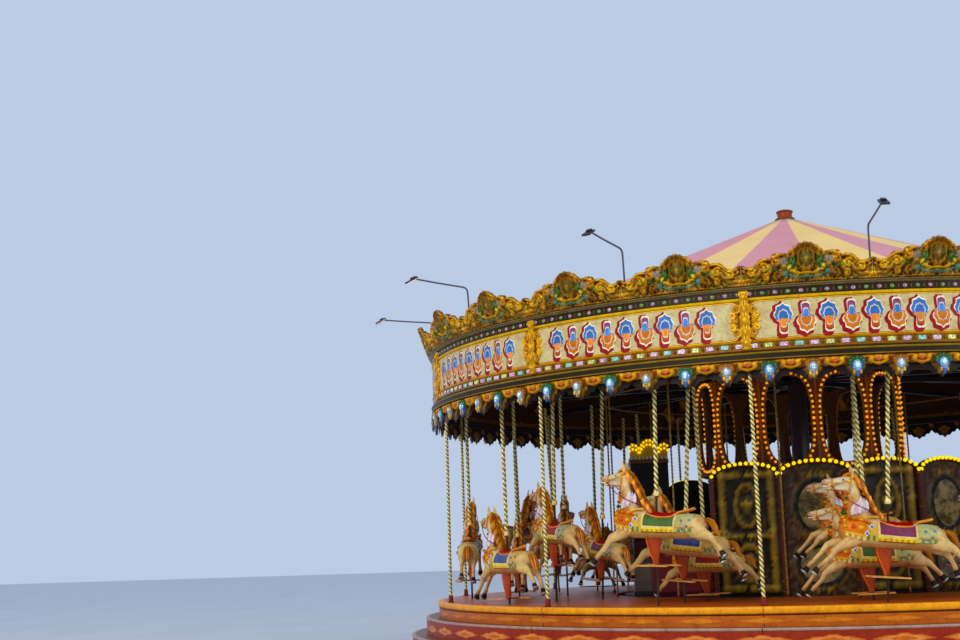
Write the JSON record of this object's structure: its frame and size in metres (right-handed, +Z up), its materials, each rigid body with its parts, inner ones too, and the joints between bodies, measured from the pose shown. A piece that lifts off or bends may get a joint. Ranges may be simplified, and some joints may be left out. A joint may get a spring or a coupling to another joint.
{
  "type": "fairground carousel",
  "caption": "Fairground carousel of galloping horses in rows on rising poles, with steps, carved rounding boards, striped canvas tilt and lamps on arms.",
  "frame": {"origin": "on the ground, on the centre line about which the machine turns", "axes": "+Z up; section one faces -Y, which is the side the picture is taken from, and sections follow towards -X"},
  "size_m": [14.06, 14.06, 7.11],
  "materials": {
    "step_paint": "gloss red paint on timber",
    "deck_timber": "satin varnish",
    "panel_paint": "gloss paint and gilding",
    "mast_paint": "satin",
    "cabin_paint": "gloss paint and gilding",
    "maroon_paint": "satin",
    "grey_paint": "satin",
    "floor_varnish": "gloss varnish",
    "edge_paint": "gloss amber paint",
    "rod_brass": "polished",
    "swift_timber": "satin paint",
    "shaft_steel": "satin",
    "drum_timber": "satin paint and gilding",
    "cornice_timber": "satin paint",
    "board_paint": "gloss paint and gilding",
    "ledge_aluminium": "satin",
    "gilt_carving": "gilded",
    "valance_timber": "satin paint",
    "tilt_canvas": "matte",
    "cap_paint": "satin",
    "lamp_paint": "satin",
    "horse_paint": "gloss paint and gilding"
  },
  "bodies": {
    "base": {"lower_step": "step_paint", "upper_step": "step_paint", "centre_deck": "deck_timber", "centre_panels": "panel_paint", "mast": "mast_paint", "control_cabin": "cabin_paint", "maroon_locker": "maroon_paint", "grey_locker": "grey_paint"},
    "frame": {"platform": "floor_varnish", "platform_edge": "edge_paint", "outer_rods": "rod_brass", "inner_rods": "rod_brass", "swifts": "swift_timber", "crank_shafts": "shaft_steel", "upper_drum": "drum_timber", "bottom_cornice": "cornice_timber", "rounding_boards": "board_paint", "top_ledge": "ledge_aluminium", "crests": "gilt_carving", "droppers": "gilt_carving", "inner_valance": "valance_timber", "tilt": "tilt_canvas", "top_cap": "cap_paint", "light_arms": "lamp_paint"},
    "horse_outer_1": {"horse_outer_1": "horse_paint"},
    "horse_outer_2": {"horse_outer_2": "horse_paint"},
    "horse_outer_3": {"horse_outer_3": "horse_paint"},
    "horse_outer_4": {"horse_outer_4": "horse_paint"},
    "horse_outer_5": {"horse_outer_5": "horse_paint"},
    "horse_outer_6": {"horse_outer_6": "horse_paint"},
    "horse_outer_7": {"horse_outer_7": "horse_paint"},
    "horse_outer_8": {"horse_outer_8": "horse_paint"},
    "horse_outer_9": {"horse_outer_9": "horse_paint"},
    "horse_outer_10": {"horse_outer_10": "horse_paint"},
    "horse_outer_11": {"horse_outer_11": "horse_paint"},
    "horse_outer_12": {"horse_outer_12": "horse_paint"},
    "horse_middle_1": {"horse_middle_1": "horse_paint"},
    "horse_middle_2": {"horse_middle_2": "horse_paint"},
    "horse_middle_3": {"horse_middle_3": "horse_paint"},
    "horse_middle_4": {"horse_middle_4": "horse_paint"},
    "horse_middle_5": {"horse_middle_5": "horse_paint"},
    "horse_middle_6": {"horse_middle_6": "horse_paint"},
    "horse_middle_7": {"horse_middle_7": "horse_paint"},
    "horse_middle_8": {"horse_middle_8": "horse_paint"},
    "horse_middle_9": {"horse_middle_9": "horse_paint"},
    "horse_middle_10": {"horse_middle_10": "horse_paint"},
    "horse_middle_11": {"horse_middle_11": "horse_paint"},
    "horse_middle_12": {"horse_middle_12": "horse_paint"},
    "horse_inner_1": {"horse_inner_1": "horse_paint"},
    "horse_inner_2": {"horse_inner_2": "horse_paint"},
    "horse_inner_3": {"horse_inner_3": "horse_paint"},
    "horse_inner_4": {"horse_inner_4": "horse_paint"},
    "horse_inner_5": {"horse_inner_5": "horse_paint"},
    "horse_inner_6": {"horse_inner_6": "horse_paint"},
    "horse_inner_7": {"horse_inner_7": "horse_paint"},
    "horse_inner_8": {"horse_inner_8": "horse_paint"},
    "horse_inner_9": {"horse_inner_9": "horse_paint"},
    "horse_inner_10": {"horse_inner_10": "horse_paint"},
    "horse_inner_11": {"horse_inner_11": "horse_paint"},
    "horse_inner_12": {"horse_inner_12": "horse_paint"}
  },
  "joints": [
    {"name": "spin", "type": "hinge", "parent": "base", "child": "frame", "pos_m": [0, 0, 0.74], "axis": [0, 0, -1], "continuous": true},
    {"name": "rise_outer_1", "type": "slide", "parent": "frame", "child": "horse_outer_1", "axis": [0.0767, 0, 0.9971], "range_m": [-0.25, 0.25]},
    {"name": "rise_outer_2", "type": "slide", "parent": "frame", "child": "horse_outer_2", "axis": [0.0302, -0.0174, 0.9994], "range_m": [-0.466, 0.034]},
    {"name": "rise_outer_3", "type": "slide", "parent": "frame", "child": "horse_outer_3", "axis": [-0.0105, 0.0181, 0.9998], "range_m": [-0.034, 0.466]},
    {"name": "rise_outer_4", "type": "slide", "parent": "frame", "child": "horse_outer_4", "axis": [0, -0.0767, 0.9971], "range_m": [-0.25, 0.25]},
    {"name": "rise_outer_5", "type": "slide", "parent": "frame", "child": "horse_outer_5", "axis": [-0.0174, -0.0302, 0.9994], "range_m": [-0.466, 0.034]},
    {"name": "rise_outer_6", "type": "slide", "parent": "frame", "child": "horse_outer_6", "axis": [0.0181, 0.0105, 0.9998], "range_m": [-0.034, 0.466]},
    {"name": "rise_outer_7", "type": "slide", "parent": "frame", "child": "horse_outer_7", "axis": [-0.0767, 0, 0.9971], "range_m": [-0.25, 0.25]},
    {"name": "rise_outer_8", "type": "slide", "parent": "frame", "child": "horse_outer_8", "axis": [-0.0302, 0.0174, 0.9994], "range_m": [-0.466, 0.034]},
    {"name": "rise_outer_9", "type": "slide", "parent": "frame", "child": "horse_outer_9", "axis": [0.0105, -0.0181, 0.9998], "range_m": [-0.034, 0.466]},
    {"name": "rise_outer_10", "type": "slide", "parent": "frame", "child": "horse_outer_10", "axis": [0, 0.0767, 0.9971], "range_m": [-0.25, 0.25]},
    {"name": "rise_outer_11", "type": "slide", "parent": "frame", "child": "horse_outer_11", "axis": [0.0174, 0.0302, 0.9994], "range_m": [-0.466, 0.034]},
    {"name": "rise_outer_12", "type": "slide", "parent": "frame", "child": "horse_outer_12", "axis": [-0.0181, -0.0105, 0.9998], "range_m": [-0.034, 0.466]},
    {"name": "rise_middle_1", "type": "slide", "parent": "frame", "child": "horse_middle_1", "axis": [-0.0209, 0, 0.9998], "range_m": [-0.034, 0.466]},
    {"name": "rise_middle_2", "type": "slide", "parent": "frame", "child": "horse_middle_2", "axis": [0.0664, -0.0384, 0.9971], "range_m": [-0.25, 0.25]},
    {"name": "rise_middle_3", "type": "slide", "parent": "frame", "child": "horse_middle_3", "axis": [0.0174, -0.0302, 0.9994], "range_m": [-0.466, 0.034]},
    {"name": "rise_middle_4", "type": "slide", "parent": "frame", "child": "horse_middle_4", "axis": [0, 0.0209, 0.9998], "range_m": [-0.034, 0.466]},
    {"name": "rise_middle_5", "type": "slide", "parent": "frame", "child": "horse_middle_5", "axis": [-0.0384, -0.0664, 0.9971], "range_m": [-0.25, 0.25]},
    {"name": "rise_middle_6", "type": "slide", "parent": "frame", "child": "horse_middle_6", "axis": [-0.0302, -0.0174, 0.9994], "range_m": [-0.466, 0.034]},
    {"name": "rise_middle_7", "type": "slide", "parent": "frame", "child": "horse_middle_7", "axis": [0.0209, 0, 0.9998], "range_m": [-0.034, 0.466]},
    {"name": "rise_middle_8", "type": "slide", "parent": "frame", "child": "horse_middle_8", "axis": [-0.0664, 0.0384, 0.9971], "range_m": [-0.25, 0.25]},
    {"name": "rise_middle_9", "type": "slide", "parent": "frame", "child": "horse_middle_9", "axis": [-0.0174, 0.0302, 0.9994], "range_m": [-0.466, 0.034]},
    {"name": "rise_middle_10", "type": "slide", "parent": "frame", "child": "horse_middle_10", "axis": [0, -0.0209, 0.9998], "range_m": [-0.034, 0.466]},
    {"name": "rise_middle_11", "type": "slide", "parent": "frame", "child": "horse_middle_11", "axis": [0.0384, 0.0664, 0.9971], "range_m": [-0.25, 0.25]},
    {"name": "rise_middle_12", "type": "slide", "parent": "frame", "child": "horse_middle_12", "axis": [0.0302, 0.0174, 0.9994], "range_m": [-0.466, 0.034]},
    {"name": "rise_inner_1", "type": "slide", "parent": "frame", "child": "horse_inner_1", "axis": [0.0349, 0, 0.9994], "range_m": [-0.466, 0.034]},
    {"name": "rise_inner_2", "type": "slide", "parent": "frame", "child": "horse_inner_2", "axis": [-0.0181, 0.0105, 0.9998], "range_m": [-0.034, 0.466]},
    {"name": "rise_inner_3", "type": "slide", "parent": "frame", "child": "horse_inner_3", "axis": [0.0384, -0.0664, 0.9971], "range_m": [-0.25, 0.25]},
    {"name": "rise_inner_4", "type": "slide", "parent": "frame", "child": "horse_inner_4", "axis": [0, -0.0349, 0.9994], "range_m": [-0.466, 0.034]},
    {"name": "rise_inner_5", "type": "slide", "parent": "frame", "child": "horse_inner_5", "axis": [0.0105, 0.0181, 0.9998], "range_m": [-0.034, 0.466]},
    {"name": "rise_inner_6", "type": "slide", "parent": "frame", "child": "horse_inner_6", "axis": [-0.0664, -0.0384, 0.9971], "range_m": [-0.25, 0.25]},
    {"name": "rise_inner_7", "type": "slide", "parent": "frame", "child": "horse_inner_7", "axis": [-0.0349, 0, 0.9994], "range_m": [-0.466, 0.034]},
    {"name": "rise_inner_8", "type": "slide", "parent": "frame", "child": "horse_inner_8", "axis": [0.0181, -0.0105, 0.9998], "range_m": [-0.034, 0.466]},
    {"name": "rise_inner_9", "type": "slide", "parent": "frame", "child": "horse_inner_9", "axis": [-0.0384, 0.0664, 0.9971], "range_m": [-0.25, 0.25]},
    {"name": "rise_inner_10", "type": "slide", "parent": "frame", "child": "horse_inner_10", "axis": [0, 0.0349, 0.9994], "range_m": [-0.466, 0.034]},
    {"name": "rise_inner_11", "type": "slide", "parent": "frame", "child": "horse_inner_11", "axis": [-0.0105, -0.0181, 0.9998], "range_m": [-0.034, 0.466]},
    {"name": "rise_inner_12", "type": "slide", "parent": "frame", "child": "horse_inner_12", "axis": [0.0664, 0.0384, 0.9971], "range_m": [-0.25, 0.25]}
  ],
  "couplings": [
    {"joint": "rise_outer_4", "follows": "rise_outer_1", "ratio": 1},
    {"joint": "rise_outer_5", "follows": "rise_outer_2", "ratio": 1},
    {"joint": "rise_outer_6", "follows": "rise_outer_3", "ratio": 1},
    {"joint": "rise_outer_7", "follows": "rise_outer_1", "ratio": 1},
    {"joint": "rise_outer_8", "follows": "rise_outer_2", "ratio": 1},
    {"joint": "rise_outer_9", "follows": "rise_outer_3", "ratio": 1},
    {"joint": "rise_outer_10", "follows": "rise_outer_1", "ratio": 1},
    {"joint": "rise_outer_11", "follows": "rise_outer_2", "ratio": 1},
    {"joint": "rise_outer_12", "follows": "rise_outer_3", "ratio": 1},
    {"joint": "rise_middle_1", "follows": "rise_outer_3", "ratio": 1},
    {"joint": "rise_middle_2", "follows": "rise_outer_1", "ratio": 1},
    {"joint": "rise_middle_3", "follows": "rise_outer_2", "ratio": 1},
    {"joint": "rise_middle_4", "follows": "rise_outer_3", "ratio": 1},
    {"joint": "rise_middle_5", "follows": "rise_outer_1", "ratio": 1},
    {"joint": "rise_middle_6", "follows": "rise_outer_2", "ratio": 1},
    {"joint": "rise_middle_7", "follows": "rise_outer_3", "ratio": 1},
    {"joint": "rise_middle_8", "follows": "rise_outer_1", "ratio": 1},
    {"joint": "rise_middle_9", "follows": "rise_outer_2", "ratio": 1},
    {"joint": "rise_middle_10", "follows": "rise_outer_3", "ratio": 1},
    {"joint": "rise_middle_11", "follows": "rise_outer_1", "ratio": 1},
    {"joint": "rise_middle_12", "follows": "rise_outer_2", "ratio": 1},
    {"joint": "rise_inner_1", "follows": "rise_outer_2", "ratio": 1},
    {"joint": "rise_inner_2", "follows": "rise_outer_3", "ratio": 1},
    {"joint": "rise_inner_3", "follows": "rise_outer_1", "ratio": 1},
    {"joint": "rise_inner_4", "follows": "rise_outer_2", "ratio": 1},
    {"joint": "rise_inner_5", "follows": "rise_outer_3", "ratio": 1},
    {"joint": "rise_inner_6", "follows": "rise_outer_1", "ratio": 1},
    {"joint": "rise_inner_7", "follows": "rise_outer_2", "ratio": 1},
    {"joint": "rise_inner_8", "follows": "rise_outer_3", "ratio": 1},
    {"joint": "rise_inner_9", "follows": "rise_outer_1", "ratio": 1},
    {"joint": "rise_inner_10", "follows": "rise_outer_2", "ratio": 1},
    {"joint": "rise_inner_11", "follows": "rise_outer_3", "ratio": 1},
    {"joint": "rise_inner_12", "follows": "rise_outer_1", "ratio": 1}
  ]
}
